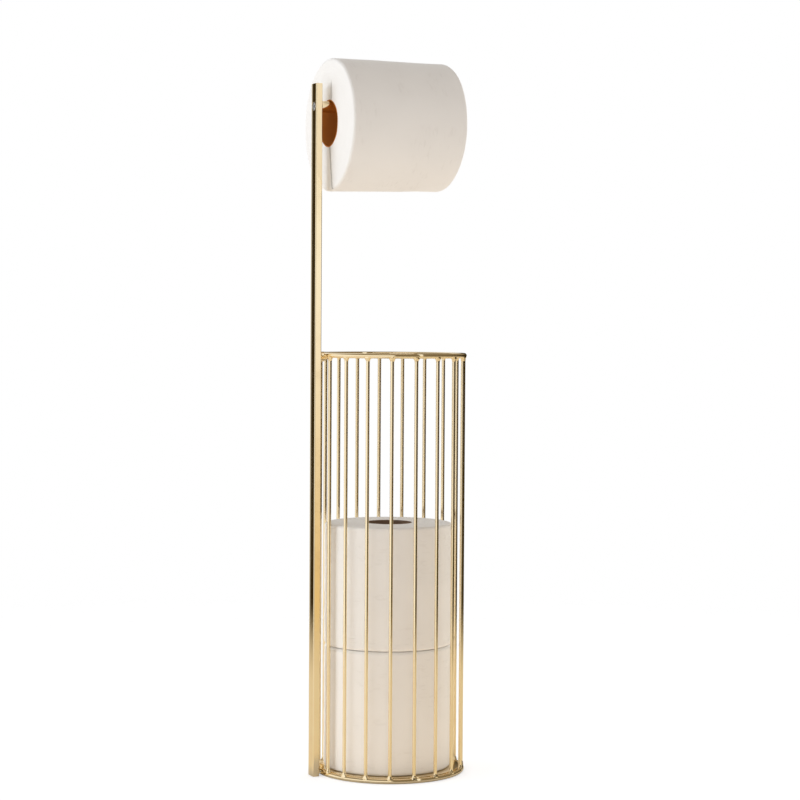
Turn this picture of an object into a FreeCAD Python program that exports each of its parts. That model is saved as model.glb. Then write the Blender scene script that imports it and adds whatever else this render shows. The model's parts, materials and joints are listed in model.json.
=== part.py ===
import FreeCAD, Part
import math
import os

# Free-standing toilet roll holder. A flat post carries a rod arm for the roll in use and, beside it,
# a round wire basket for spare rolls. Millimetres, +Z up. The origin is on the floor, halfway between
# the outer side of the post and the far side of the basket. +X runs from the post along the arm.

# Wire basket
basket_clearance = 5.5  # between the uprights and a roll in the middle of the basket
basket_height = 349.3  # floor to the top of the top ring
ring_wire_d = 4.1  # across the flats
ring_flat_count = 8  # flats round the wire, a multiple of four, so that one faces up
upright_count = 19
upright_d = 3.0  # across the flats
upright_flat_count = 12
weld_height = 1.8  # how far each weld climbs the upright from the ring
weld_share = 0.7  # how far each weld spreads from the upright's face to the ring's side
plate_thickness = 1.5
plate_seat_share = 0.4  # where the plate's rim lies from the foot of a weld to the ring's side

# Post
post_width = 6.0  # along the arm
post_depth = 10.5
post_height = 569.0
post_corner_r = 0.6
post_gap = 2.7  # clear space between the post and the rings

# Standoffs that join the rings to the post
standoff_d = 8.0
upper_standoff_drop = 1.2  # below the centre line of the top ring
lower_standoff_bite = 0.3  # how deep it sits over the top of the bottom ring

# Arm
arm_d = 9.6
arm_drop = 18.7  # from the top of the post to the middle of the arm
arm_overhang = 6.0  # past the far end of the roll
arm_tip_chamfer = 1.5

# Screw that holds the arm, with its head let into the outer side of the post
screw_d = 4.0
screw_reach = 14.0  # into the arm
screw_clearance = 0.1  # all round, in the post and in the arm
screw_hole_spare = 1.5  # past the screw's end
screw_head_d = 7.5
screw_head_height = 2.6
screw_head_sink = 0.2  # below the outer side of the post
screw_socket_width = 3.0  # across the flats
screw_socket_depth = 1.6

# Rolls
roll_d = 107.0
roll_length = 101.5
roll_rim_chamfer = 2.0
core_bore_d = 36.8
core_wall = 1.0
core_gap = 0.05  # between the core and the innermost turn of paper
roll_post_gap = 7.3  # between the post and the near end of the hung roll
hang_clearance = 0.3  # between the arm and the core that hangs on it
rest_clearance = 0.2  # under each stored roll
stack_shift_share = 0.36  # how far of the basket's clearance the stored rolls stand towards the post

cut_overrun = 5.0
full_turn = 360.0

# Worked out from the sizes above
ring_r = ring_wire_d / 2
upright_r = upright_d / 2
weld_r = upright_r + weld_share * (ring_r - upright_r)
core_r = core_bore_d / 2 + core_wall
basket_radius = roll_d / 2 + basket_clearance + upright_r  # to the middle of the ring wire
top_ring_z = basket_height - ring_r
bottom_ring_z = ring_r
basket_x = (post_gap + post_width) / 2
post_inner_x = basket_x - basket_radius - ring_r - post_gap
post_outer_x = post_inner_x - post_width
arm_height = post_height - arm_drop
screw_seat_depth = screw_head_sink + screw_head_height
arm_length = roll_post_gap + roll_length + arm_overhang
hung_roll_x = post_inner_x + roll_post_gap
hung_roll_z = arm_height - (core_bore_d / 2 - arm_d / 2 - hang_clearance)

X = FreeCAD.Vector(1, 0, 0)
Y = FreeCAD.Vector(0, 1, 0)
Z = FreeCAD.Vector(0, 0, 1)


def point(x, y, z):
    return FreeCAD.Vector(x, y, z)


def outline_face(points):
    return Part.Face(Part.makePolygon(points + points[:1]))


def turned(points, axis):
    """Solid of revolution, about an axis through the origin, of an outline beside that axis."""
    return outline_face(points).revolve(point(0, 0, 0), axis, full_turn)


def flat_angles(flats):
    """Directions that the flats of a wire face, the first along the section's first axis."""
    return [2 * math.pi * i / flats for i in range(flats)]


def wire_section(centre, first_axis, second_axis, radius, flats):
    """Corners of a wire's section, with its flats at the radius."""
    half_step = math.pi / flats
    reach = radius / math.cos(half_step)
    corners = [angle + half_step for angle in flat_angles(flats)]
    return [centre + (first_axis * math.cos(a) + second_axis * math.sin(a)) * reach for a in corners]


def stacked(sections):
    """Solid through a stack of like sections, each joined to the next by flat sides."""
    faces = [outline_face(sections[0]), outline_face(sections[-1])]
    for lower, upper in zip(sections, sections[1:]):
        for i in range(len(lower)):
            faces.append(outline_face([lower[i - 1], lower[i], upper[i], upper[i - 1]]))
    return Part.makeSolid(Part.makeShell(faces))


def ring(z):
    hoop = turned(wire_section(point(basket_radius, 0, z), X, Z, ring_r, ring_flat_count), Z)
    hoop.translate(point(basket_x, 0, 0))
    return hoop


def straight_wire(x, z, half_length):
    """Straight stretch of ring wire along Y, to cut seats that fit the ring."""
    section = wire_section(point(x, -half_length, z), X, Z, ring_r, ring_flat_count)
    return outline_face(section).extrude(Y * (2 * half_length))


def uprights():
    """Upright wires, spread by their welds and hollowed to sit on the rings. The post faces a gap."""
    x = basket_x + basket_radius
    weld_rise = ring_r + weld_height
    heights_and_radii = [
        (bottom_ring_z, weld_r),
        (bottom_ring_z + weld_rise, upright_r),
        (top_ring_z - weld_rise, upright_r),
        (top_ring_z, weld_r),
    ]
    sections = [wire_section(point(x, 0, z), X, Y, r, upright_flat_count) for z, r in heights_and_radii]
    first = stacked(sections)
    for z in (bottom_ring_z, top_ring_z):
        first = first.cut(straight_wire(x, z, upright_d))
    step = full_turn / upright_count
    copies = {}
    for i in range(upright_count):
        wire = first.copy()
        wire.rotate(point(basket_x, 0, 0), Z, full_turn / 2 + step * (i + 1 / 2))
        copies[f"upright_{i + 1:02d}"] = wire
    return copies


def base_plate():
    """Disc whose rim rests on the inner shoulder of the bottom ring."""
    inset = weld_r + plate_seat_share * (ring_r - weld_r)
    upper_flats = [a for a in flat_angles(ring_flat_count) if 0 < a < math.pi]
    seat = min((ring_r - inset * math.cos(a)) / math.sin(a) for a in upper_flats)
    place = point(basket_x, 0, bottom_ring_z + seat)
    return Part.makeCylinder(basket_radius - inset, plate_thickness, place, Z)


def post():
    """Flat bar with rounded long edges, drilled and counterbored for the screw."""
    corner = point(post_outer_x, -post_depth / 2, 0)
    bar = Part.makeBox(post_width, post_depth, post_height, corner)
    long_edges = [e for e in bar.Edges if e.BoundBox.ZLength > post_height / 2]
    bar = bar.makeFillet(min(post_corner_r, post_width / 3, post_depth / 3), long_edges)
    start = point(post_outer_x - cut_overrun, 0, arm_height)
    hole = Part.makeCylinder(screw_d / 2 + screw_clearance, post_width + 2 * cut_overrun, start, X)
    recess = Part.makeCylinder(screw_head_d / 2 + screw_clearance, screw_seat_depth + cut_overrun, start, X)
    return bar.cut(hole).cut(recess)


def standoff(z, ring_z):
    """Short stub from the post to the centre line of a ring, hollowed to fit over the ring."""
    ring_x = basket_x - basket_radius
    stub = Part.makeCylinder(standoff_d / 2, ring_x - post_inner_x, point(post_inner_x, 0, z), X)
    return stub.cut(straight_wire(ring_x, ring_z, standoff_d))


def roll_arm():
    """Rod with a chamfered tip and a blind hole in its root for the screw."""
    radius = arm_d / 2
    hole_r = screw_d / 2 + screw_clearance
    hole_depth = screw_reach + screw_hole_spare
    rod = turned(
        [
            point(0, 0, hole_r),
            point(0, 0, radius),
            point(arm_length - arm_tip_chamfer, 0, radius),
            point(arm_length, 0, radius - arm_tip_chamfer),
            point(arm_length, 0, 0),
            point(hole_depth, 0, 0),
            point(hole_depth, 0, hole_r),
        ],
        X,
    )
    rod.translate(point(post_inner_x, 0, arm_height))
    return rod


def arm_screw():
    """Socket screw through the post into the arm."""
    head_r = screw_head_d / 2
    shank_r = screw_d / 2
    end_x = post_width + screw_reach
    screw = turned(
        [
            point(screw_head_sink, 0, 0),
            point(screw_head_sink, 0, head_r),
            point(screw_seat_depth, 0, head_r),
            point(screw_seat_depth, 0, shank_r),
            point(end_x, 0, shank_r),
            point(end_x, 0, 0),
        ],
        X,
    )
    screw = screw.cut(hex_socket())
    screw.translate(point(post_outer_x, 0, arm_height))
    return screw


def hex_socket():
    reach = screw_socket_width / math.sqrt(3)
    mouth_x = screw_head_sink - cut_overrun
    angles = [math.radians(full_turn * i / 6) for i in range(6)]
    corners = [point(mouth_x, reach * math.cos(a), reach * math.sin(a)) for a in angles]
    return outline_face(corners).extrude(X * (screw_socket_depth + cut_overrun))


def roll_paper():
    """Wound paper, standing on the origin, with its rims drawn in."""
    bore = core_r + core_gap
    outer = roll_d / 2
    return turned(
        [
            point(bore, 0, 0),
            point(outer - roll_rim_chamfer, 0, 0),
            point(outer, 0, roll_rim_chamfer),
            point(outer, 0, roll_length - roll_rim_chamfer),
            point(outer - roll_rim_chamfer, 0, roll_length),
            point(bore, 0, roll_length),
        ],
        Z,
    )


def roll_core():
    """Cardboard tube of a roll, standing on the origin."""
    bore = core_bore_d / 2
    return turned(
        [
            point(bore, 0, 0),
            point(core_r, 0, 0),
            point(core_r, 0, roll_length),
            point(bore, 0, roll_length),
        ],
        Z,
    )


def stored(shape, bottom_z):
    shape.translate(point(basket_x - stack_shift_share * basket_clearance, 0, bottom_z))
    return shape


def hung(shape):
    shape.rotate(point(0, 0, 0), Y, full_turn / 4)
    shape.translate(point(hung_roll_x, 0, hung_roll_z))
    return shape


plate = base_plate()
lower_z = plate.BoundBox.ZMax + rest_clearance
upper_z = lower_z + roll_length + rest_clearance

parts = {
    "post": post(),
    "roll_arm": roll_arm(),
    "arm_screw": arm_screw(),
    "upper_standoff": standoff(top_ring_z - upper_standoff_drop, top_ring_z),
    "lower_standoff": standoff(ring_wire_d + standoff_d / 2 - lower_standoff_bite, bottom_ring_z),
    "top_ring": ring(top_ring_z),
    "bottom_ring": ring(bottom_ring_z),
    "base_plate": plate,
    "hung_roll_paper": hung(roll_paper()),
    "hung_roll_core": hung(roll_core()),
    "lower_roll_paper": stored(roll_paper(), lower_z),
    "lower_roll_core": stored(roll_core(), lower_z),
    "upper_roll_paper": stored(roll_paper(), upper_z),
    "upper_roll_core": stored(roll_core(), upper_z),
}
parts.update(uprights())

os.makedirs("parts", exist_ok=True)
for name, shape in parts.items():
    shape.exportStep(f"parts/{name}.step")
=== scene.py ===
"""Looks of a free-standing toilet roll holder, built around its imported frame.

Run as a script, it dresses every piece of the frame: the gold-plated post, arm, rings, welded
upright wires and floor of the basket, the wound paper rolls and their cardboard cores. It then sets
a pale studio round them. Everything is in metres, in the frame's own axes: +Z up, +X from the post
along the arm.
"""

import json
import math

import bmesh
import bpy
from bpy.props import FloatProperty, FloatVectorProperty, IntProperty, PointerProperty
from mathutils import Matrix, Vector, noise

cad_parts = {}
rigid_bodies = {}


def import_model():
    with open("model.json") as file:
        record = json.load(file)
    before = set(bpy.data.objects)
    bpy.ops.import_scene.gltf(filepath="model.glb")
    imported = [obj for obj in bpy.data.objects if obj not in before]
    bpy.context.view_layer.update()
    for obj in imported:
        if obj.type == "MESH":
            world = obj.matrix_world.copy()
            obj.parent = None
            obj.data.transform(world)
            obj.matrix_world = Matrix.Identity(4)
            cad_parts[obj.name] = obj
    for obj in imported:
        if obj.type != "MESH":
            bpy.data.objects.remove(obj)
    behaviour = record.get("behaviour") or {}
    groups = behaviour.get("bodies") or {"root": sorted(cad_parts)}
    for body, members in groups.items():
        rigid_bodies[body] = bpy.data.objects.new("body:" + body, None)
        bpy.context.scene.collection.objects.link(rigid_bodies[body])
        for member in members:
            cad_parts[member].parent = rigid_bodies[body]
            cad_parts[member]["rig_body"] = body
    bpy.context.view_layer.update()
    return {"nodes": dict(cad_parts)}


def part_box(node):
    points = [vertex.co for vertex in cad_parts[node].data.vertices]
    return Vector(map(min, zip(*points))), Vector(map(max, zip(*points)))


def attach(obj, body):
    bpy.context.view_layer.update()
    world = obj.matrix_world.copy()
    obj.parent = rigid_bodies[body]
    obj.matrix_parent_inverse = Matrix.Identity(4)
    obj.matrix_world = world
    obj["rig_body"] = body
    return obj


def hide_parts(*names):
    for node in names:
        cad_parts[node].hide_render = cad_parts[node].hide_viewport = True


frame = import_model()

bl_info = {
    "name": "Toilet Roll Holder",
    "version": (1, 0, 0),
    "blender": (4, 5, 0),
    "location": "View3D > Sidebar > Holder",
    "description": "Dresses a free-standing toilet roll holder and its rolls",
    "category": "Object",
}

UPRIGHTS = sorted(name for name in frame["nodes"] if name.startswith("upright_"))
ROLLS = ("hung_roll", "lower_roll", "upper_roll")
FULL_TURN = 2 * math.pi
SHARP_ANGLE = math.radians(35)

# Turn, from the front, of the window that mirrors show
WINDOW_TURN = math.radians(-82)

# Where the last sheet of each roll ends, as an angle round the roll
TAIL_TURNS = {"hung_roll": 2.2, "lower_roll": 0.9, "upper_roll": 2.4}

# Light that falls on the object, by where it comes from
ROOM_LIGHT = (0.73, 0.75, 0.77, 1.0)
LEFT_LIGHT = (2.26, 2.40, 2.54, 1.0)
RIGHT_LIGHT = (2.00, 2.05, 2.00, 1.0)
FRONT_LIGHT = (0.55, 0.48, 0.41, 1.0)
OVERHEAD_LIGHT = (0.38, 0.345, 0.32, 1.0)
LOW_LIGHT = (0.95, 0.90, 0.86, 1.0)

# What mirrors see round the object
MIRRORED_WINDOW = (1.05, 1.05, 1.05, 1.0)
MIRRORED_LOW_STRIP = (0.82, 0.62, 0.30, 1.0)
MIRRORED_DARK = (0.04, 0.027, 0.008, 1.0)
MIRRORED_CEILING = (0.26, 0.21, 0.14, 1.0)
MIRRORED_FAR_FLOOR = (0.75, 0.64, 0.48, 1.0)

# What the floor glows with: an even white lift for the camera, and a painted warm reflection for mirrors
CAMERA_LIFT = (0.50, 0.52, 0.55, 1.0)
PAINTED_REFLECTION_FRONT = (0.24, 0.17, 0.02, 1.0)
PAINTED_REFLECTION_BEHIND = (0.25, 0.175, 0.02, 1.0)
PAINTED_REFLECTION_WINDOW = (0.40, 0.36, 0.30, 1.0)

WHITE = (1.0, 1.0, 1.0, 1.0)
BLACK = (0.0, 0.0, 0.0, 1.0)


# Sizes and colours that a user would change


class HolderSizes(bpy.types.PropertyGroup):
    """Sizes of the metal pieces that the frame doesn't give."""

    post_rounding: FloatProperty(
        name="Post rounding",
        description="Radius of the post's long edges",
        default=0.0006,
        unit="LENGTH",
    )
    post_crown: FloatProperty(
        name="Post crown",
        description="How far the post's broad sides bulge in their middle",
        default=0.00014,
        unit="LENGTH",
    )
    end_easing: FloatProperty(
        name="End easing",
        description="Radius of the cut edges of the post and the plate",
        default=0.0003,
        unit="LENGTH",
    )
    arm_tip_rounding: FloatProperty(
        name="Arm tip rounding",
        description="Radius of the arm's free end",
        default=0.0022,
        unit="LENGTH",
    )
    wire_thickness: FloatProperty(
        name="Upright wire",
        description="Thickness of the basket's upright wires",
        default=0.0030,
        unit="LENGTH",
    )
    weld_climb: FloatProperty(
        name="Weld climb",
        description="How far a weld climbs an upright from the ring",
        default=0.0032,
        unit="LENGTH",
    )
    weld_spread: FloatProperty(
        name="Weld spread",
        description="How far a weld spreads along the ring",
        default=0.0013,
        unit="LENGTH",
    )
    weld_swell: FloatProperty(
        name="Weld swell",
        description="How far a weld stands out across the ring",
        default=0.0004,
        unit="LENGTH",
    )
    weld_roughness: FloatProperty(
        name="Weld unevenness",
        description="Height of the lumps on the welds",
        default=0.00018,
        unit="LENGTH",
    )
    screw_head_height: FloatProperty(
        name="Screw head height",
        description="Height of the screw's head, which rests in the post",
        default=0.0026,
        unit="LENGTH",
    )
    screw_thickness: FloatProperty(
        name="Screw shank",
        description="Thickness of the screw's shank",
        default=0.0040,
        unit="LENGTH",
    )
    screw_room: FloatProperty(
        name="Screw room",
        description="Room round the screw's head in the post",
        default=0.0001,
        unit="LENGTH",
    )
    socket_width: FloatProperty(
        name="Screw socket",
        description="Width of the screw's hexagon socket across its flats",
        default=0.0030,
        unit="LENGTH",
    )
    socket_depth: FloatProperty(
        name="Socket depth",
        description="Depth of the screw's hexagon socket",
        default=0.0016,
        unit="LENGTH",
    )


class RollSizes(bpy.types.PropertyGroup):
    """Sizes of the paper rolls that the frame doesn't give."""

    rim_rounding: FloatProperty(
        name="Rim rounding",
        description="Radius of the soft rims of a roll",
        default=0.0026,
        unit="LENGTH",
    )
    board_thickness: FloatProperty(
        name="Core board",
        description="Thickness of the cardboard core",
        default=0.0010,
        unit="LENGTH",
    )
    tail_step: FloatProperty(
        name="Tail step",
        description="Height of the step where the last sheet ends",
        default=0.00035,
        unit="LENGTH",
    )
    winding_ridge: FloatProperty(
        name="Winding ridges",
        description="Unevenness of the wound layers on a roll's ends",
        default=0.00028,
        unit="LENGTH",
    )
    loose_wrap: FloatProperty(
        name="Loose wrap",
        description="How far the last turns of the hung roll sag at the end by the post",
        default=0.0026,
        unit="LENGTH",
    )
    softness: FloatProperty(
        name="Softness",
        description="Height of the soft swellings on a roll's side",
        default=0.00035,
        unit="LENGTH",
    )


class HolderColours(bpy.types.PropertyGroup):
    """Colours of the holder's finishes, some of them with painted light or shade in them."""

    gold: FloatVectorProperty(
        name="Gold",
        description="Colour of the gold plating",
        default=(0.93, 0.78, 0.52),
        subtype="COLOR",
        min=0.0,
        max=1.0,
    )
    worn_gold: FloatVectorProperty(
        name="Deep gold",
        description="Colour of the plating where it is thin or handled",
        default=(0.87, 0.69, 0.42),
        subtype="COLOR",
        min=0.0,
        max=1.0,
    )
    steel: FloatVectorProperty(
        name="Steel",
        description="Colour of the screw",
        default=(0.56, 0.55, 0.53),
        subtype="COLOR",
        min=0.0,
        max=1.0,
    )
    tissue: FloatVectorProperty(
        name="Tissue",
        description="Colour of the paper",
        default=(0.93, 0.91, 0.88),
        subtype="COLOR",
        min=0.0,
        max=1.0,
    )
    # Painted shade: the paper's colour in its puckers and between its wound layers, where shade would
    # fall; it also gives the random cloudy tone
    tissue_tone_and_painted_shade: FloatVectorProperty(
        name="Tissue shade",
        description="Colour of the paper in its folds and between its layers",
        default=(0.70, 0.67, 0.63),
        subtype="COLOR",
        min=0.0,
        max=1.0,
    )
    # Painted shade: the darker colour along the creases across a roll's end
    crease_painted_shade: FloatVectorProperty(
        name="Tissue crease",
        description="Colour of the paper in the creases across a roll's end",
        default=(0.50, 0.48, 0.45),
        subtype="COLOR",
        min=0.0,
        max=1.0,
    )
    # Painted light: the hung core's board is a deep orange that stands in for the warm light falling into
    # its bore
    board: FloatVectorProperty(
        name="Cardboard",
        description="Colour of the hung roll's core",
        default=(0.58, 0.22, 0.05),
        subtype="COLOR",
        min=0.0,
        max=1.0,
    )
    # Painted shade: a greyer, darker copy of the core board, standing in for the shade the spare cores
    # sit in inside the basket
    spare_board_painted_shade: FloatVectorProperty(
        name="Spare cardboard",
        description="Colour of the spare rolls' cores",
        default=(0.24, 0.165, 0.115),
        subtype="COLOR",
        min=0.0,
        max=1.0,
    )
    floor: FloatVectorProperty(
        name="Floor",
        description="Colour of the studio floor",
        default=(0.86, 0.855, 0.85),
        subtype="COLOR",
        min=0.0,
        max=1.0,
    )


class StudioSettings(bpy.types.PropertyGroup):
    """Camera, floor and lamp of the studio."""

    camera_distance: FloatProperty(
        name="Camera distance",
        description="Level distance from the camera to the basket's axis",
        default=1.8306,
        unit="LENGTH",
    )
    camera_height: FloatProperty(
        name="Camera height",
        description="Height of the camera above the floor",
        default=0.3737,
        unit="LENGTH",
    )
    camera_turn: FloatProperty(
        name="Camera turn",
        description="How far the camera stands round to the post's side",
        default=math.radians(24.42),
        subtype="ANGLE",
    )
    camera_tilt: FloatProperty(
        name="Camera tilt",
        description="How far the camera looks down",
        default=math.radians(2.0),
        subtype="ANGLE",
    )
    camera_roll: FloatProperty(
        name="Camera roll",
        description="How far the camera leans",
        default=math.radians(0.355),
        subtype="ANGLE",
    )
    camera_slide: FloatProperty(
        name="Camera slide",
        description="How far the camera stands to the right of the line to the basket's axis",
        default=0.00716,
        unit="LENGTH",
    )
    lens: FloatProperty(
        name="Lens",
        description="Focal length of the camera, in millimetres",
        default=98.85,
    )
    floor_radius: FloatProperty(
        name="Floor radius",
        description="Radius of the studio floor, which fades out towards its rim",
        default=1.2,
        unit="LENGTH",
    )
    lamp_width: FloatProperty(
        name="Lamp width",
        description="Width of the round lamp on the floor",
        default=0.90,
        unit="LENGTH",
    )
    lamp_power: FloatProperty(
        name="Lamp power",
        description="Power of the lamp on the floor, in watts",
        default=1.2,
    )
    lamp_colour: FloatVectorProperty(
        name="Lamp colour",
        description="Colour of the lamp on the floor",
        default=(1.0, 0.78, 0.52),
        subtype="COLOR",
        min=0.0,
        max=1.0,
    )


# Meshes


def arc(centre, radius, start, end, steps):
    """Points of (radius, height) on an arc about a centre, with its angles in degrees."""
    angles = [math.radians(start + (end - start) * i / steps) for i in range(steps + 1)]
    return [(centre[0] + radius * math.cos(a), centre[1] + radius * math.sin(a)) for a in angles]


def even_angles(count):
    return [FULL_TURN * i / count for i in range(count)]


def smooth_mesh(name, points, faces):
    """Object with smooth faces, sharp only where they meet at a wide angle."""
    mesh = bpy.data.meshes.new(name)
    mesh.from_pydata(points, [], faces)
    shape = bmesh.new()
    shape.from_mesh(mesh)
    bmesh.ops.recalc_face_normals(shape, faces=shape.faces)
    shape.to_mesh(mesh)
    shape.free()
    mesh.polygons.foreach_set("use_smooth", [True] * len(mesh.polygons))
    mesh.set_sharp_from_angle(angle=SHARP_ANGLE)
    piece = bpy.data.objects.new(name, mesh)
    bpy.context.scene.collection.objects.link(piece)
    return piece


def turned(name, profile, angles, closed=False, shape=None):
    """Piece turned about its Z axis from points of (radius, height), at the given angles.

    A profile that isn't closed starts and ends on the axis. The shape function, where there is one,
    takes an angle, a radius and a height, and gives the radius and height that the point moves to.
    """
    points = []
    rings = []
    for radius, height in profile:
        if radius == 0:
            rings.append([len(points)] * len(angles))
            points.append((0, 0, height))
            continue
        rings.append(list(range(len(points), len(points) + len(angles))))
        for angle in angles:
            r, h = shape(angle, radius, height) if shape else (radius, height)
            points.append((r * math.cos(angle), r * math.sin(angle), h))
    pairs = list(zip(rings, rings[1:]))
    if closed:
        pairs.append((rings[-1], rings[0]))
    faces = []
    for low, high in pairs:
        for i in range(len(angles)):
            j = (i + 1) % len(angles)
            corners = [low[i], low[j], high[j], high[i]]
            faces.append(tuple(dict.fromkeys(corners)))
    return smooth_mesh(name, points, faces)


def dress(piece, node, material):
    """Makes a piece stand for a node of the frame, on the node's body and with its finish."""
    piece.data.materials.append(material)
    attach(piece, frame["nodes"][node]["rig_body"])
    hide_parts(node)


def bored(piece, cutter):
    """Cuts the form of a cutter out of a piece, and takes the cutter away."""
    hole = piece.modifiers.new("hole", "BOOLEAN")
    hole.object = cutter
    hole.solver = "EXACT"
    result = piece.evaluated_get(bpy.context.evaluated_depsgraph_get())
    piece.data = bpy.data.meshes.new_from_object(result)
    piece.modifiers.clear()
    bpy.data.objects.remove(cutter)


def middle(node):
    low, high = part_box(node)
    return (low + high) / 2


def extent(node):
    low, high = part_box(node)
    return high - low


def along_x(place):
    """Placement that lays a turned piece's axis along +X from a place."""
    return Matrix.Translation(place) @ Matrix.Rotation(math.pi / 2, 4, "Y")


# Shader nodes


def add(tree, kind, sockets=None, **settings):
    """New node with its settings, its sockets set to values or linked to other sockets."""
    made = tree.nodes.new(kind)
    for name, value in settings.items():
        setattr(made, name, value)
    for key, value in (sockets or {}).items():
        if isinstance(value, bpy.types.NodeSocket):
            tree.links.new(value, made.inputs[key])
        else:
            made.inputs[key].default_value = value
    return made


def maths(tree, operation, *values):
    made = add(tree, "ShaderNodeMath", dict(enumerate(values)), operation=operation)
    return made.outputs[0]


def length_of(tree, x, y):
    return maths(tree, "SQRT", maths(tree, "MULTIPLY_ADD", x, x, maths(tree, "MULTIPLY", y, y)))


def towards(tree, x, y, turn):
    """How far a level direction or place lies towards a turn from the front, positive to the right."""
    return maths(tree, "MULTIPLY_ADD", y, -math.cos(turn), maths(tree, "MULTIPLY", x, math.sin(turn)))


def spread(tree, value, from_low, from_high, to_low, to_high):
    """Value taken smoothly from one range to another."""
    sockets = {"Value": value, 1: from_low, 2: from_high, 3: to_low, 4: to_high}
    made = add(tree, "ShaderNodeMapRange", sockets, interpolation_type="SMOOTHSTEP")
    return made.outputs[0]


def mixed(tree, share, first, second):
    """Colour between two colours."""
    made = add(tree, "ShaderNodeMix", {0: share, 6: first, 7: second}, data_type="RGBA")
    return made.outputs[2]


def blended(tree, share, first, second):
    """Value between two values."""
    made = add(tree, "ShaderNodeMix", {0: share, 2: first, 3: second}, data_type="FLOAT")
    return made.outputs[0]


def vector_maths(tree, operation, *vectors):
    made = add(tree, "ShaderNodeVectorMath", dict(enumerate(vectors)), operation=operation)
    return made.outputs[0]


def noise_at(tree, vector, scale, detail=3.0, roughness=0.5):
    sockets = {"Vector": vector, "Scale": scale, "Detail": detail, "Roughness": roughness}
    return add(tree, "ShaderNodeTexNoise", sockets).outputs[0]


def stretched(tree, vector, scale):
    """Vector scaled by a different amount along each axis."""
    return add(tree, "ShaderNodeMapping", {"Vector": vector, "Scale": scale}).outputs[0]


def new_group(name, inputs, outputs):
    """Empty shader node group, with its input and output nodes."""
    group = bpy.data.node_groups.new(name, "ShaderNodeTree")
    for label, kind, default in inputs:
        socket = group.interface.new_socket(label, in_out="INPUT", socket_type=kind)
        socket.default_value = default
    for label, kind in outputs:
        group.interface.new_socket(label, in_out="OUTPUT", socket_type=kind)
    return group, group.nodes.new("NodeGroupInput"), group.nodes.new("NodeGroupOutput")


def polish_group():
    """Marks that polishing and handling leave on plated metal."""
    group, given, put = new_group(
        "polish_marks",
        [("Length", "NodeSocketFloat", 1.0), ("Smudge Scale", "NodeSocketFloat", 40.0)],
        [("Marks", "NodeSocketFloat"), ("Smudges", "NodeSocketFloat"), ("Height", "NodeSocketFloat")],
    )
    own_place = add(group, "ShaderNodeTexCoord").outputs["Object"]
    piece_place = add(group, "ShaderNodeObjectInfo").outputs["Location"]
    apart = (7.0, 7.0, 7.0)
    place = vector_maths(group, "MULTIPLY_ADD", piece_place, apart, own_place)
    shortened = maths(group, "DIVIDE", 1.0, given.outputs["Length"])
    along_marks = add(group, "ShaderNodeCombineXYZ", {"X": 1.0, "Y": 1.0, "Z": shortened}).outputs[0]
    drawn = vector_maths(group, "MULTIPLY", place, along_marks)
    marks = noise_at(group, drawn, 900.0, 4.0, 0.6)
    smudges = noise_at(group, place, given.outputs["Smudge Scale"], 4.0, 0.55)
    ripples = noise_at(group, drawn, 220.0, 2.0, 0.4)
    height = maths(group, "ADD", maths(group, "MULTIPLY", marks, 0.35), ripples)
    group.links.new(spread(group, marks, 0.35, 0.75, 0.0, 1.0), put.inputs["Marks"])
    group.links.new(spread(group, smudges, 0.42, 0.70, 0.0, 1.0), put.inputs["Smudges"])
    group.links.new(height, put.inputs["Height"])
    return group


def fibre_group():
    """Fibres and flecks of pressed paper and board."""
    group, given, put = new_group(
        "paper_fibres",
        [("Scale", "NodeSocketFloat", 600.0)],
        [("Fibres", "NodeSocketFloat"), ("Flecks", "NodeSocketFloat"), ("Cloud", "NodeSocketFloat")],
    )
    place = add(group, "ShaderNodeTexCoord").outputs["Object"]
    fibres = noise_at(group, place, given.outputs["Scale"], 5.0, 0.65)
    flecks = noise_at(group, stretched(group, place, (1.0, 1.0, 0.3)), given.outputs["Scale"], 2.0)
    cloud = noise_at(group, place, maths(group, "DIVIDE", given.outputs["Scale"], 16.0), 2.0)
    group.links.new(fibres, put.inputs["Fibres"])
    group.links.new(spread(group, flecks, 0.66, 0.74, 0.0, 1.0), put.inputs["Flecks"])
    group.links.new(spread(group, cloud, 0.3, 0.7, 0.0, 1.0), put.inputs["Cloud"])
    return group


def new_material(name):
    """Material with a Principled shader, its node tree and the shader."""
    material = bpy.data.materials.new(name)
    material.use_nodes = True
    tree = material.node_tree
    return material, tree, tree.nodes["Principled BSDF"]


def shared(name, build):
    """Node group or material by name, built the first time it is asked for."""
    kept = bpy.data.node_groups.get(name) or bpy.data.materials.get(name)
    return kept or build()


def solid(colour):
    return (*colour, 1.0)


def darker(colour, share):
    return [share * part for part in colour]


def metal(name, colour, worn_colour, low_rough, high_rough, mark_length, bump_height):
    """Polished metal with drawn polishing marks and faint smudges."""
    material, tree, shader = new_material(name)
    polish = add(tree, "ShaderNodeGroup", node_tree=shared("polish_marks", polish_group))
    polish.inputs["Length"].default_value = mark_length
    smudged = maths(tree, "MULTIPLY", polish.outputs["Smudges"], 0.4)
    tint = mixed(tree, smudged, solid(colour), solid(worn_colour))
    dulled = maths(tree, "MULTIPLY_ADD", polish.outputs["Marks"], 0.4, polish.outputs["Smudges"])
    rough = spread(tree, dulled, 0.0, 1.4, low_rough, high_rough)
    bump = add(
        tree,
        "ShaderNodeBump",
        {"Height": polish.outputs["Height"], "Strength": 0.1, "Distance": bump_height},
    )
    shader.inputs["Metallic"].default_value = 1.0
    tree.links.new(tint, shader.inputs["Base Color"])
    tree.links.new(rough, shader.inputs["Roughness"])
    tree.links.new(bump.outputs[0], shader.inputs["Normal"])
    return material


def gold_plating():
    colours = bpy.context.scene.holder_colours
    return metal("gold_plating", colours.gold, colours.worn_gold, 0.05, 0.10, 30.0, 0.00002)


def screw_steel():
    steel = bpy.context.scene.holder_colours.steel
    return metal("screw_steel", steel, darker(steel, 0.6), 0.22, 0.40, 1.0, 0.00003)


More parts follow.
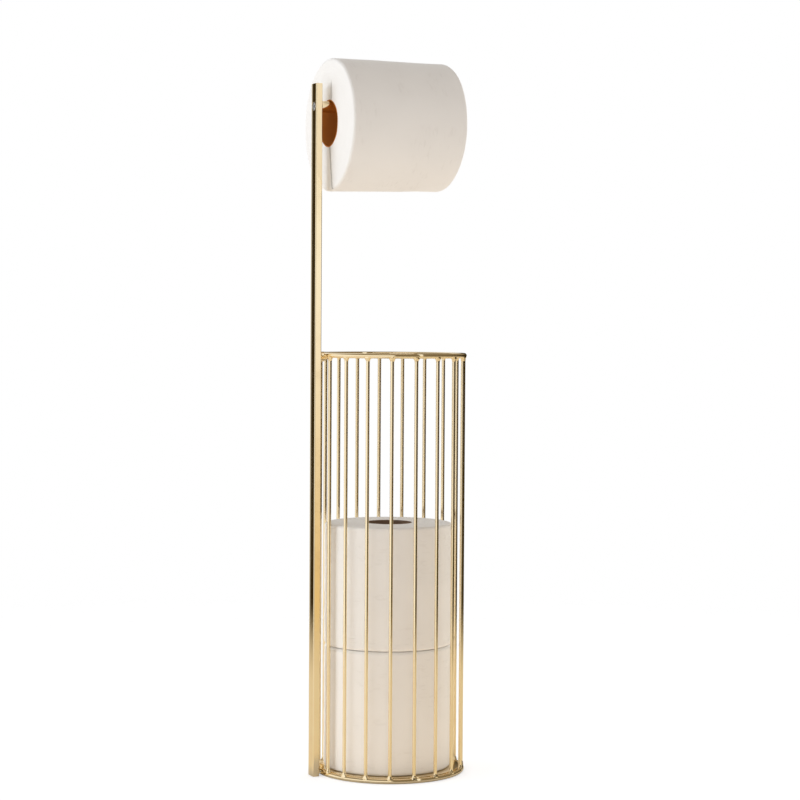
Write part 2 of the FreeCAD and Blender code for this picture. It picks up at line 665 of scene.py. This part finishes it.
def end_creases(tree, x, y, facing):
    """Creases across a roll's lower end, a long one below the core and a short one above it; the mask
    sets their bump and their painted shade.
    """
    half_width = 0.0026
    lean = 0.17
    long_offset = 0.001
    short_offset = 0.005
    short_end = -0.036
    short_full = -0.030
    off_long = maths(tree, "MULTIPLY_ADD", x, lean, maths(tree, "SUBTRACT", y, long_offset))
    long_crease = spread(tree, maths(tree, "ABSOLUTE", off_long), 0.0, half_width, 1.0, 0.0)
    off_short = maths(tree, "ABSOLUTE", maths(tree, "ADD", y, short_offset))
    short_crease = spread(tree, off_short, 0.0, half_width, 1.0, 0.0)
    short_crease = maths(tree, "MULTIPLY", short_crease, spread(tree, x, short_end, short_full, 0.0, 1.0))
    crease = blended(tree, maths(tree, "GREATER_THAN", x, 0.0), short_crease, long_crease)
    return maths(tree, "MULTIPLY", crease, maths(tree, "LESS_THAN", facing, 0.0))


def tissue_paper():
    """Wound tissue: embossed and creped on the side, finely layered and creased on the ends."""
    colours = bpy.context.scene.holder_colours
    material, tree, shader = new_material("tissue_paper")
    coordinates = add(tree, "ShaderNodeTexCoord")
    place = coordinates.outputs["Object"]
    x, y, _ = add(tree, "ShaderNodeSeparateXYZ", {0: place}).outputs
    radius = length_of(tree, x, y)
    facing = add(tree, "ShaderNodeSeparateXYZ", {0: coordinates.outputs["Normal"]}).outputs[2]
    end = spread(tree, maths(tree, "ABSOLUTE", facing), 0.55, 0.85, 0.0, 1.0)

    pucker_length = 0.010
    pucker_width = 0.0024
    pucker_scale = (1 / pucker_length, 1 / pucker_length, 1 / pucker_width)
    pucker_noise = noise_at(tree, stretched(tree, place, pucker_scale), 1.0, 1.0)
    puckers = spread(tree, pucker_noise, 0.55, 0.72, 0.0, 1.0)

    fibres = add(tree, "ShaderNodeGroup", node_tree=shared("paper_fibres", fibre_group))
    fibres.inputs["Scale"].default_value = 420.0
    crepe = noise_at(tree, stretched(tree, place, (1.0, 1.0, 0.12)), 1500.0, 2.0)
    slack_patches = spread(tree, fibres.outputs["Cloud"], 0.35, 0.9, 0.0, 1.0)
    puckered = maths(tree, "MULTIPLY", puckers, slack_patches)
    side_height = maths(tree, "MULTIPLY_ADD", puckered, -0.8, crepe)

    layer_place = add(tree, "ShaderNodeCombineXYZ", {"X": radius}).outputs[0]
    layers = noise_at(tree, layer_place, 1500.0, 3.0, 0.7)
    wide_layers = noise_at(tree, layer_place, 260.0, 2.0, 0.5)
    crease = end_creases(tree, x, y, facing)
    end_height = maths(tree, "MULTIPLY_ADD", crease, -1.2, maths(tree, "ADD", layers, wide_layers))

    height = blended(tree, end, side_height, end_height)
    detailed = maths(tree, "MULTIPLY_ADD", fibres.outputs["Fibres"], 0.5, height)
    bump = add(tree, "ShaderNodeBump", {"Height": detailed, "Strength": 0.5, "Distance": 0.00022})

    # Painted shade: the side darkens in its puckers and the ends between their wound layers; the fibre
    # cloud adds tone that differs at random
    pucker_painted_shade = maths(tree, "MULTIPLY", puckered, 0.16)
    layer_painted_shade = spread(tree, layers, 0.45, 0.75, 0.0, 0.22)
    shade = blended(tree, end, pucker_painted_shade, layer_painted_shade)
    clouded = maths(tree, "MULTIPLY_ADD", fibres.outputs["Cloud"], 0.08, shade)
    tint = mixed(tree, clouded, solid(colours.tissue), solid(colours.tissue_tone_and_painted_shade))
    # Painted shade: the creases on the lower end are darkened in colour
    tint = mixed(tree, maths(tree, "MULTIPLY", crease, end), tint, solid(colours.crease_painted_shade))
    rough = spread(tree, fibres.outputs["Fibres"], 0.3, 0.7, 0.86, 0.98)
    tree.links.new(tint, shader.inputs["Base Color"])
    tree.links.new(rough, shader.inputs["Roughness"])
    tree.links.new(bump.outputs[0], shader.inputs["Normal"])
    shader.inputs["Specular IOR Level"].default_value = 0.15
    shader.inputs["Sheen Weight"].default_value = 0.12
    shader.inputs["Sheen Roughness"].default_value = 0.6
    return material


def cardboard(name, colour):
    """Cardboard wound in a spiral, with its seam."""
    material, tree, shader = new_material(name)
    place = add(tree, "ShaderNodeTexCoord").outputs["Object"]
    x, y, z = add(tree, "ShaderNodeSeparateXYZ", {0: place}).outputs
    turn = maths(tree, "DIVIDE", maths(tree, "ARCTAN2", y, x), FULL_TURN)
    seam_rise = 0.085
    climb = maths(tree, "FRACT", maths(tree, "ADD", maths(tree, "DIVIDE", z, seam_rise), turn))
    off_seam = maths(tree, "ABSOLUTE", maths(tree, "SUBTRACT", climb, 0.5))
    seam = spread(tree, off_seam, 0.004, 0.014, 1.0, 0.0)
    fibres = add(tree, "ShaderNodeGroup", node_tree=shared("paper_fibres", fibre_group))
    fibres.inputs["Scale"].default_value = 500.0
    seam_shade = maths(tree, "MULTIPLY", seam, 0.7)
    flecked = maths(tree, "MULTIPLY_ADD", fibres.outputs["Flecks"], 0.35, seam_shade)
    shade = maths(tree, "MULTIPLY_ADD", fibres.outputs["Cloud"], 0.3, flecked)
    tint = mixed(tree, shade, solid(colour), solid(darker(colour, 0.62)))
    height = maths(tree, "MULTIPLY_ADD", seam, -1.0, fibres.outputs["Fibres"])
    bump = add(tree, "ShaderNodeBump", {"Height": height, "Strength": 0.5, "Distance": 0.0002})
    rough = spread(tree, fibres.outputs["Fibres"], 0.3, 0.7, 0.62, 0.85)
    tree.links.new(tint, shader.inputs["Base Color"])
    tree.links.new(rough, shader.inputs["Roughness"])
    tree.links.new(bump.outputs[0], shader.inputs["Normal"])
    shader.inputs["Specular IOR Level"].default_value = 0.0
    return material


# Painted light: the hung core's board takes the warm lit copy of the board colour
def hung_core_painted_light():
    return cardboard("hung_core_painted_light", bpy.context.scene.holder_colours.board)


# Painted shade: the spare cores' board is a shaded copy of the hung core's board
def spare_core_painted_shade():
    return cardboard("spare_core_painted_shade", bpy.context.scene.holder_colours.spare_board_painted_shade)


# Metal pieces


def bar_section(half, rounding, crown):
    """Points round a flat bar's section, with rounded corners and a slight crown on its two X sides."""
    flat = half.y - rounding
    corner_x = half.x - crown - rounding
    crown_steps = 12
    corner_steps = 6
    shares = [-1 + 2 * i / crown_steps for i in range(crown_steps + 1)]
    right = [(half.x - crown * share**2, flat * share) for share in shares]
    corners = arc((corner_x, flat), rounding, 0, 90, corner_steps)[1:]
    corners += arc((-corner_x, flat), rounding, 90, 180, corner_steps)[:-1]
    first_half = right + corners
    return first_half + [(-x, -y) for x, y in first_half]


class HOLDER_OT_post(bpy.types.Operator):
    """Build the flat post with its rounded edges, and the recess for the screw"""

    bl_idname = "holder.post"
    bl_label = "Post"

    def execute(self, context):
        sizes = context.scene.holder_sizes
        low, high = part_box("post")
        centre = middle("post")
        half = extent("post") / 2
        section = bar_section(half, sizes.post_rounding, sizes.post_crown)
        easing_steps = 3
        easing = []
        for i in range(easing_steps + 1):
            angle = math.pi / 2 * i / easing_steps
            rise = sizes.end_easing * (1 - math.cos(angle))
            inset = sizes.end_easing * (1 - math.sin(angle))
            easing.append((rise, inset))
        levels = [(low.z + rise, inset) for rise, inset in easing]
        levels += [(high.z - rise, inset) for rise, inset in reversed(easing)]
        points = []
        for z, inset in levels:
            share_x = 1 - inset / half.x
            share_y = 1 - inset / half.y
            points += [(centre.x + x * share_x, centre.y + y * share_y, z) for x, y in section]
        count = len(section)
        faces = [range(count), range(len(points) - count, len(points))]
        for start in range(0, len(points) - count, count):
            for i in range(count):
                j = (i + 1) % count
                faces.append((start + i, start + j, start + count + j, start + count + i))
        piece = smooth_mesh("gold_post", points, [tuple(face) for face in faces])

        screw_low, screw_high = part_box("arm_screw")
        seat = screw_low.x + sizes.screw_head_height - low.x
        recess_radius = (screw_high.y - screw_low.y) / 2 + sizes.screw_room
        outside = -seat
        recess = [(0, outside), (recess_radius, outside), (recess_radius, seat), (0, seat)]
        cutter = turned("recess", recess, even_angles(64))
        cutter.matrix_world = along_x(Vector((low.x, 0, middle("arm_screw").z)))
        bored(piece, cutter)
        piece.data.polygons.foreach_set("use_smooth", [True] * len(piece.data.polygons))
        piece.data.set_sharp_from_angle(angle=SHARP_ANGLE)
        evened = piece.modifiers.new("even_shading", "WEIGHTED_NORMAL")
        evened.keep_sharp = True
        dress(piece, "post", shared("gold_plating", gold_plating))
        return {"FINISHED"}


class HOLDER_OT_arm(bpy.types.Operator):
    """Build the rod arm with its rounded tip"""

    bl_idname = "holder.arm"
    bl_label = "Arm"

    def execute(self, context):
        rounding = context.scene.holder_sizes.arm_tip_rounding
        size = extent("roll_arm")
        radius = size.y / 2
        tip = arc((radius - rounding, size.x - rounding), rounding, 0, 90, 10)
        profile = [(0, 0), (radius, 0), (radius, size.x / 2), *tip, (0, size.x)]
        piece = turned("gold_arm", profile, even_angles(64))
        root = middle("roll_arm")
        root.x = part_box("roll_arm")[0].x
        piece.matrix_world = along_x(root)
        dress(piece, "roll_arm", shared("gold_plating", gold_plating))
        return {"FINISHED"}


class HOLDER_OT_screw(bpy.types.Operator):
    """Build the socket screw that holds the arm, let into the post"""

    bl_idname = "holder.screw"
    bl_label = "Arm screw"

    def execute(self, context):
        sizes = context.scene.holder_sizes
        low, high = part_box("arm_screw")
        length = high.x - low.x
        head_radius = (high.y - low.y) / 2
        shank_radius = sizes.screw_thickness / 2
        easing = sizes.end_easing
        sixth = FULL_TURN / 6
        corner_radius = sizes.socket_width / 2 / math.cos(sixth / 2)

        def shape(angle, radius, depth):
            if radius > corner_radius:
                return radius, depth
            return radius * math.cos(sixth / 2) / math.cos(angle % sixth - sixth / 2), depth

        profile = [
            (0, sizes.socket_depth),
            (corner_radius, sizes.socket_depth),
            (corner_radius, easing / 2),
            (corner_radius + easing / 2, 0),
            (head_radius - easing, 0),
            (head_radius, easing),
            (head_radius, sizes.screw_head_height),
            (shank_radius, sizes.screw_head_height),
            (shank_radius, length - easing),
            (shank_radius - easing, length),
            (0, length),
        ]
        piece = turned("socket_screw", profile, even_angles(72), shape=shape)
        piece.matrix_world = along_x(Vector((low.x, 0, (low.z + high.z) / 2)))
        dress(piece, "arm_screw", shared("screw_steel", screw_steel))
        return {"FINISHED"}


class HOLDER_OT_rings(bpy.types.Operator):
    """Build the top and bottom rings of round wire"""

    bl_idname = "holder.rings"
    bl_label = "Rings"

    def execute(self, context):
        for node in ("top_ring", "bottom_ring"):
            size = extent(node)
            wire_radius = size.z / 2
            ring_radius = size.x / 2 - wire_radius
            section = arc((ring_radius, 0), wire_radius, 0, 360, 28)[:-1]
            piece = turned("gold_" + node, section, even_angles(288), closed=True)
            piece.matrix_world = Matrix.Translation(middle(node))
            dress(piece, node, shared("gold_plating", gold_plating))
        return {"FINISHED"}


class HOLDER_OT_uprights(bpy.types.Operator):
    """Build the upright wires with their welds on the rings"""

    bl_idname = "holder.uprights"
    bl_label = "Upright wires"

    def execute(self, context):
        sizes = context.scene.holder_sizes
        axis = middle("bottom_ring")
        wire_radius = sizes.wire_thickness / 2
        ring_radius = extent("bottom_ring").z / 2
        foot = axis.z
        head = middle("top_ring").z
        weld_steps = 9
        climbs = [sizes.weld_climb * i / weld_steps for i in range(weld_steps + 1)]
        lower = [foot + ring_radius + climb for climb in climbs]
        upper = [head - ring_radius - climb for climb in reversed(climbs)]
        shaft_steps = 24
        shaft = [lower[-1] + (upper[0] - lower[-1]) * i / shaft_steps for i in range(1, shaft_steps)]
        heights = [foot, *lower, *shaft, *upper, head]
        profile = [(0, foot), *[(wire_radius, height) for height in heights], (0, head)]
        lump_scale = 900.0
        piece_step = 7.3
        for number, node in enumerate(UPRIGHTS):
            place = middle(node)
            turn = math.atan2(place.y - axis.y, place.x - axis.x)

            def shape(angle, radius, height, number=number, turn=turn):
                from_ring = min(height - foot, head - height) - ring_radius
                share = max(0.0, 1.0 - max(from_ring, 0.0) / sizes.weld_climb)
                along = sizes.weld_spread * math.sin(angle - turn) ** 2
                across = sizes.weld_swell * math.cos(angle - turn) ** 2
                lump_place = height * lump_scale + piece_step * number
                spot = Vector((math.cos(angle), math.sin(angle), lump_place))
                lumps = sizes.weld_roughness * noise.noise(spot) * min(1.0, 2.0 * share)
                return radius + (along + across) * share**2 + lumps, height

            piece = turned("gold_" + node, profile, even_angles(20), shape=shape)
            piece.matrix_world = Matrix.Translation((place.x, place.y, 0))
            dress(piece, node, shared("gold_plating", gold_plating))
        return {"FINISHED"}


class HOLDER_OT_standoffs(bpy.types.Operator):
    """Build the stubs that weld the rings to the post"""

    bl_idname = "holder.standoffs"
    bl_label = "Standoffs"

    def execute(self, context):
        sizes = context.scene.holder_sizes
        bead = sizes.weld_swell
        flare_steps = 8
        shares = [i / flare_steps for i in range(flare_steps + 1)]
        lumps_round = 3
        lump_scale = 700.0
        piece_step = 5.1
        for number, node in enumerate(("upper_standoff", "lower_standoff")):
            low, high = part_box(node)
            length = high.x - low.x
            radius = (high.y - low.y) / 2
            flare = [(radius + bead * (1 - share) ** 2, 2 * bead * share) for share in shares]

            def shape(angle, r, height, number=number):
                lump_place = height * lump_scale + piece_step * number
                spot = Vector((lumps_round * math.cos(angle), lumps_round * math.sin(angle), lump_place))
                return r + sizes.weld_roughness * noise.noise(spot), height

            profile = [(0, 0), *flare, (radius, length - bead), (radius - bead, length), (0, length)]
            piece = turned("gold_" + node, profile, even_angles(48), shape=shape)
            piece.matrix_world = along_x(Vector((low.x, 0, (low.z + high.z) / 2)))
            dress(piece, node, shared("gold_plating", gold_plating))
        return {"FINISHED"}


class HOLDER_OT_base_plate(bpy.types.Operator):
    """Build the floor of the basket with its rounded rim"""

    bl_idname = "holder.base_plate"
    bl_label = "Base plate"

    def execute(self, context):
        easing = context.scene.holder_sizes.end_easing
        size = extent("base_plate")
        radius = size.x / 2
        half = size.z / 2
        lower_rim = arc((radius - easing, easing - half), easing, -90, 0, 4)
        upper_rim = arc((radius - easing, half - easing), easing, 0, 90, 4)
        flat = [radius * share for share in (0.25, 0.5, 0.75)]
        profile = [
            (0, -half),
            *[(r, -half) for r in flat],
            *lower_rim,
            *upper_rim,
            *[(r, half) for r in reversed(flat)],
            (0, half),
        ]
        piece = turned("gold_base_plate", profile, even_angles(192))
        piece.matrix_world = Matrix.Translation(middle("base_plate"))
        dress(piece, "base_plate", shared("gold_plating", gold_plating))
        return {"FINISHED"}


# Rolls


def roll_placement(roll):
    """Placement of a roll's pieces, whose own axis is Z."""
    place = Matrix.Translation(middle(roll + "_paper"))
    if roll == "hung_roll":
        place = place @ Matrix.Rotation(math.pi / 2, 4, "Y")
    return place


def roll_size(roll):
    """Length and outer radius of a roll, and outer radius of its core."""
    size = extent(roll + "_paper")
    core = extent(roll + "_core")
    length = size.x if roll == "hung_roll" else size.z
    return length, size.y / 2, core.y / 2


class HOLDER_OT_paper(bpy.types.Operator):
    """Build the wound paper of the rolls"""

    bl_idname = "holder.paper"
    bl_label = "Paper"

    def execute(self, context):
        sizes = context.scene.roll_sizes
        rim = sizes.rim_rounding
        tail_edge = math.radians(0.25)
        turns = sorted([*even_angles(224), tail_edge])
        end_steps = 44
        side_steps = 36
        swell_scale = 22.0
        layer_scale = 480.0
        slump_scale = 30.0
        for number, roll in enumerate(ROLLS):
            length, radius, core_radius = roll_size(roll)
            half = length / 2
            flat = radius - rim
            straight = length - 2 * rim
            end = [core_radius + (flat - core_radius) * i / end_steps for i in range(end_steps)]
            side = [(flat + rim, -half + rim + straight * i / side_steps) for i in range(1, side_steps)]
            profile = [
                *[(r, -half) for r in end],
                *arc((flat, rim - half), rim, -90, 0, 8),
                *side,
                *arc((flat, half - rim), rim, 0, 90, 8),
                *[(r, half) for r in reversed(end)],
            ]

            tail_turn = TAIL_TURNS[roll]
            slack = sizes.loose_wrap if roll == "hung_roll" else 0.0

            def shape(angle, r, height, number=number):
                turn = (angle - tail_turn) % FULL_TURN
                spot = Vector((math.cos(angle), math.sin(angle), height * swell_scale + 3.7 * number))
                outward = (r - core_radius) / (radius - core_radius)
                soft = sizes.softness * (noise.noise(spot * 2.2) - 0.6) * outward
                tail = 1 - turn / FULL_TURN if turn > tail_edge / 2 else 0.0
                which_end = math.copysign(2.0, height)
                layers = noise.noise(Vector((r * layer_scale, 5.3 * number, which_end)))
                slump = noise.noise(Vector((2 * spot.x, 2 * spot.y, 9.1 * number + r * slump_scale)))
                by_rim = min(1.0, 3 * (1 - outward) + 0.35)
                fall = sizes.winding_ridge * (0.6 + 0.7 * layers + 0.6 * slump) * by_rim
                on_end = max(0.0, min(1.0, (abs(height) - half + rim) / rim))
                inward = sizes.tail_step * (1 - tail) * outward
                sag = slack * max(0.0, math.cos(angle)) ** 2 * (0.4 - height / length) * outward**2
                return r + soft * outward - inward + sag, height - math.copysign(fall * on_end, height)

            angles = [tail_turn + turn for turn in turns]
            piece = turned("paper_" + roll, profile, angles, closed=True, shape=shape)
            piece.matrix_world = roll_placement(roll)
            dress(piece, roll + "_paper", shared("tissue_paper", tissue_paper))
        return {"FINISHED"}


class HOLDER_OT_cores(bpy.types.Operator):
    """Build the cardboard cores of the rolls"""

    bl_idname = "holder.cores"
    bl_label = "Cores"

    def execute(self, context):
        board = context.scene.roll_sizes.board_thickness
        for roll in ROLLS:
            length, _, outer = roll_size(roll)
            half = length / 2
            inner = outer - board
            edge = board / 4
            steps = 12
            bore = [(inner, half - edge - (length - 2 * edge) * i / steps) for i in range(steps + 1)]
            profile = [
                (inner + edge, -half),
                (outer - edge, -half),
                (outer, -half + edge),
                (outer, half - edge),
                (outer - edge, half),
                (inner + edge, half),
                *bore,
            ]
            piece = turned("core_" + roll, profile, even_angles(96), closed=True)
            piece.matrix_world = roll_placement(roll)
            # Painted light and shade: the hung core takes the lit copy of the board, the spare cores the
            # shaded copy
            if roll == "hung_roll":
                material = shared("hung_core_painted_light", hung_core_painted_light)
            else:
                material = shared("spare_core_painted_shade", spare_core_painted_shade)
            dress(piece, roll + "_core", material)
        return {"FINISHED"}


# Studio


def studio_floor(context):
    """Pale round floor with the object's shadow, white to the camera; to mirrors it glows with a painted
    warm reflection that fades out next to the object as a painted contact shade.
    """
    radius = context.scene.studio_settings.floor_radius
    mesh = bpy.data.meshes.new("studio_floor")
    shape = bmesh.new()
    bmesh.ops.create_circle(shape, cap_ends=True, segments=96, radius=radius)
    shape.to_mesh(mesh)
    shape.free()
    floor = bpy.data.objects.new("studio_floor", mesh)
    context.scene.collection.objects.link(floor)
    material, tree, shader = new_material("studio_floor")
    shader.inputs["Base Color"].default_value = solid(context.scene.holder_colours.floor)
    shader.inputs["Roughness"].default_value = 0.95
    shader.inputs["Specular IOR Level"].default_value = 0.0
    place = add(tree, "ShaderNodeTexCoord").outputs["Object"]
    x, y, _ = add(tree, "ShaderNodeSeparateXYZ", {0: place}).outputs
    distance = length_of(tree, x, y)
    fade_start = 0.45
    tree.links.new(spread(tree, distance, fade_start, radius, 1.0, 0.0), shader.inputs["Alpha"])
    path = add(tree, "ShaderNodeLightPath")
    mirrored = path.outputs["Is Glossy Ray"]
    seen = maths(tree, "MAXIMUM", path.outputs["Is Camera Ray"], mirrored)
    seen = maths(tree, "MAXIMUM", seen, path.outputs["Is Transmission Ray"])
    from_post = maths(tree, "SUBTRACT", x, middle("post").x)
    post_distance = maths(tree, "MAXIMUM", length_of(tree, from_post, y), 0.01)
    to_window = maths(tree, "DIVIDE", towards(tree, from_post, y, WINDOW_TURN), post_distance)
    by_window = spread(tree, to_window, 0.38, 0.60, 0.0, 1.0)
    behind = spread(tree, y, -0.05, 0.05, 0.0, 1.0)
    # Painted reflection and shade: mirrors see the floor glow warm, paler towards the window, with no
    # glow next to the object
    clear_of_object = spread(tree, distance, 0.065, 0.10, 0.0, 1.0)
    painted_reflection = mixed(tree, behind, PAINTED_REFLECTION_FRONT, PAINTED_REFLECTION_BEHIND)
    painted_reflection = mixed(tree, by_window, painted_reflection, PAINTED_REFLECTION_WINDOW)
    painted_reflection = mixed(tree, clear_of_object, BLACK, painted_reflection)
    lift = mixed(tree, mirrored, CAMERA_LIFT, painted_reflection)
    tree.links.new(lift, shader.inputs["Emission Color"])
    tree.links.new(seen, shader.inputs["Emission Strength"])
    floor.data.materials.append(material)


def studio_light(context):
    """Soft light round the object, stronger from its two sides, with white behind it."""
    world = bpy.data.worlds.new("studio")
    context.scene.world = world
    world.use_nodes = True
    tree = world.node_tree
    tree.nodes.clear()
    direction = add(tree, "ShaderNodeTexCoord").outputs["Generated"]
    x, y, z = add(tree, "ShaderNodeSeparateXYZ", {0: direction}).outputs
    level = maths(tree, "MAXIMUM", length_of(tree, x, y), 0.05)
    overhead = spread(tree, z, 0.1, 0.9, 0.0, 1.0)
    underneath = spread(tree, z, -0.30, -0.02, 1.0, 0.0)

    def wall(turn, half_width):
        """Part of a wall that faces the object from a turn."""
        facing = maths(tree, "DIVIDE", towards(tree, x, y, turn), level)
        return spread(tree, facing, math.cos(half_width), 1.0, 0.0, 1.0)

    left = wall(math.radians(-82), math.radians(92))
    front = wall(math.radians(0), math.radians(95))
    right = wall(math.radians(95), math.radians(80))
    soft = mixed(tree, left, ROOM_LIGHT, LEFT_LIGHT)
    soft = mixed(tree, right, soft, RIGHT_LIGHT)
    soft = mixed(tree, front, soft, FRONT_LIGHT)
    soft = mixed(tree, overhead, soft, OVERHEAD_LIGHT)
    soft = mixed(tree, underneath, soft, LOW_LIGHT)

    window = maths(tree, "DIVIDE", towards(tree, x, y, WINDOW_TURN), level)
    window = spread(tree, window, 0.42, 0.50, 0.0, 1.0)
    window = maths(tree, "MULTIPLY", window, spread(tree, z, 0.45, 0.70, 1.0, 0.0))
    strip_left = spread(tree, x, 0.325, 0.35, 0.0, 1.0)
    strip_right = spread(tree, x, 0.405, 0.43, 1.0, 0.0)
    strip = maths(tree, "MULTIPLY", strip_left, strip_right)
    strip = maths(tree, "MULTIPLY", strip, maths(tree, "LESS_THAN", y, 0.0))
    low_strip = maths(tree, "MULTIPLY", strip, spread(tree, z, -0.15, 0.03, 1.0, 0.0))
    bright = mixed(tree, low_strip, MIRRORED_WINDOW, MIRRORED_LOW_STRIP)
    far_floor = spread(tree, z, -0.30, -0.16, 1.0, 0.0)
    backdrop = maths(tree, "DIVIDE", y, level)
    backdrop = spread(tree, backdrop, 0.936, 0.978, 0.0, 1.0)
    lit = maths(tree, "MAXIMUM", maths(tree, "MAXIMUM", window, strip), backdrop)
    ceiling = spread(tree, z, 0.12, 0.30, 0.0, 1.0)
    room = mixed(tree, ceiling, MIRRORED_DARK, MIRRORED_CEILING)
    mirrored = mixed(tree, lit, room, bright)
    mirrored = mixed(tree, far_floor, mirrored, MIRRORED_FAR_FLOOR)

    path = add(tree, "ShaderNodeLightPath")
    plain = maths(tree, "MAXIMUM", path.outputs["Is Camera Ray"], path.outputs["Is Transmission Ray"])
    colour = mixed(tree, path.outputs["Is Glossy Ray"], soft, mirrored)
    colour = mixed(tree, plain, colour, WHITE)
    light = add(tree, "ShaderNodeBackground", {"Color": colour, "Strength": 1.0})
    add(tree, "ShaderNodeOutputWorld", {"Surface": light.outputs[0]})


def studio_lamp(context):
    """Warm lamp on the floor that lights the object from below, unseen by camera and mirrors."""
    settings = context.scene.studio_settings
    above_floor = 0.002
    data = bpy.data.lights.new("studio_lamp", "AREA")
    data.shape = "DISK"
    data.size = settings.lamp_width
    data.color = settings.lamp_colour
    data.energy = settings.lamp_power
    lamp = bpy.data.objects.new("studio_lamp", data)
    lamp.matrix_world = Matrix.Translation((0, 0, above_floor)) @ Matrix.Rotation(math.pi, 4, "X")
    lamp.visible_camera = False
    lamp.visible_glossy = False
    context.scene.collection.objects.link(lamp)


def studio_camera(context):
    settings = context.scene.studio_settings
    turn = settings.camera_turn
    tilt = settings.camera_tilt
    lean = settings.camera_roll
    level_right = Vector((math.cos(turn), -math.sin(turn), 0))
    ahead = Vector((math.sin(turn) * math.cos(tilt), math.cos(turn) * math.cos(tilt), -math.sin(tilt)))
    level_up = level_right.cross(ahead)
    right = level_right * math.cos(lean) + level_up * math.sin(lean)
    up = level_up * math.cos(lean) - level_right * math.sin(lean)
    axis = middle("bottom_ring")
    place = Vector((axis.x, axis.y, settings.camera_height))
    place += Vector((-math.sin(turn), -math.cos(turn), 0)) * settings.camera_distance
    place += level_right * settings.camera_slide
    data = bpy.data.cameras.new("studio_camera")
    data.sensor_width = 36.0
    data.lens = settings.lens
    data.clip_end = 50.0
    camera = bpy.data.objects.new("studio_camera", data)
    turned_axes = Matrix((right, up, -ahead)).transposed()
    camera.matrix_world = Matrix.Translation(place) @ turned_axes.to_4x4()
    context.scene.collection.objects.link(camera)
    context.scene.camera = camera


class HOLDER_OT_studio(bpy.types.Operator):
    """Set the floor, the soft light, the lamp and the camera"""

    bl_idname = "holder.studio"
    bl_label = "Studio"

    def execute(self, context):
        context.scene.view_settings.view_transform = "Standard"
        studio_floor(context)
        studio_light(context)
        studio_lamp(context)
        studio_camera(context)
        return {"FINISHED"}


class HOLDER_PT_panel(bpy.types.Panel):
    """Sizes, colours and building steps of the holder"""

    bl_idname = "HOLDER_PT_panel"
    bl_label = "Toilet roll holder"
    bl_space_type = "VIEW_3D"
    bl_region_type = "UI"
    bl_category = "Holder"

    def draw(self, context):
        for group in (
            context.scene.holder_sizes,
            context.scene.roll_sizes,
            context.scene.holder_colours,
            context.scene.studio_settings,
        ):
            box = self.layout.box()
            for name in group.__annotations__:
                box.prop(group, name)
        for operator in OPERATORS:
            self.layout.operator(operator.bl_idname)


GROUPS = {
    "holder_sizes": HolderSizes,
    "roll_sizes": RollSizes,
    "holder_colours": HolderColours,
    "studio_settings": StudioSettings,
}
OPERATORS = (
    HOLDER_OT_studio,
    HOLDER_OT_post,
    HOLDER_OT_arm,
    HOLDER_OT_screw,
    HOLDER_OT_rings,
    HOLDER_OT_uprights,
    HOLDER_OT_standoffs,
    HOLDER_OT_base_plate,
    HOLDER_OT_paper,
    HOLDER_OT_cores,
)


def register():
    for kind in (*GROUPS.values(), *OPERATORS, HOLDER_PT_panel):
        bpy.utils.register_class(kind)
    for name, kind in GROUPS.items():
        setattr(bpy.types.Scene, name, PointerProperty(type=kind))


def unregister():
    for name in GROUPS:
        delattr(bpy.types.Scene, name)
    for kind in (HOLDER_PT_panel, *reversed(OPERATORS), *reversed(GROUPS.values())):
        bpy.utils.unregister_class(kind)


def main():
    register()
    for operator in OPERATORS:
        section, name = operator.bl_idname.split(".")
        getattr(getattr(bpy.ops, section), name)()


if __name__ == "__main__":
    main()
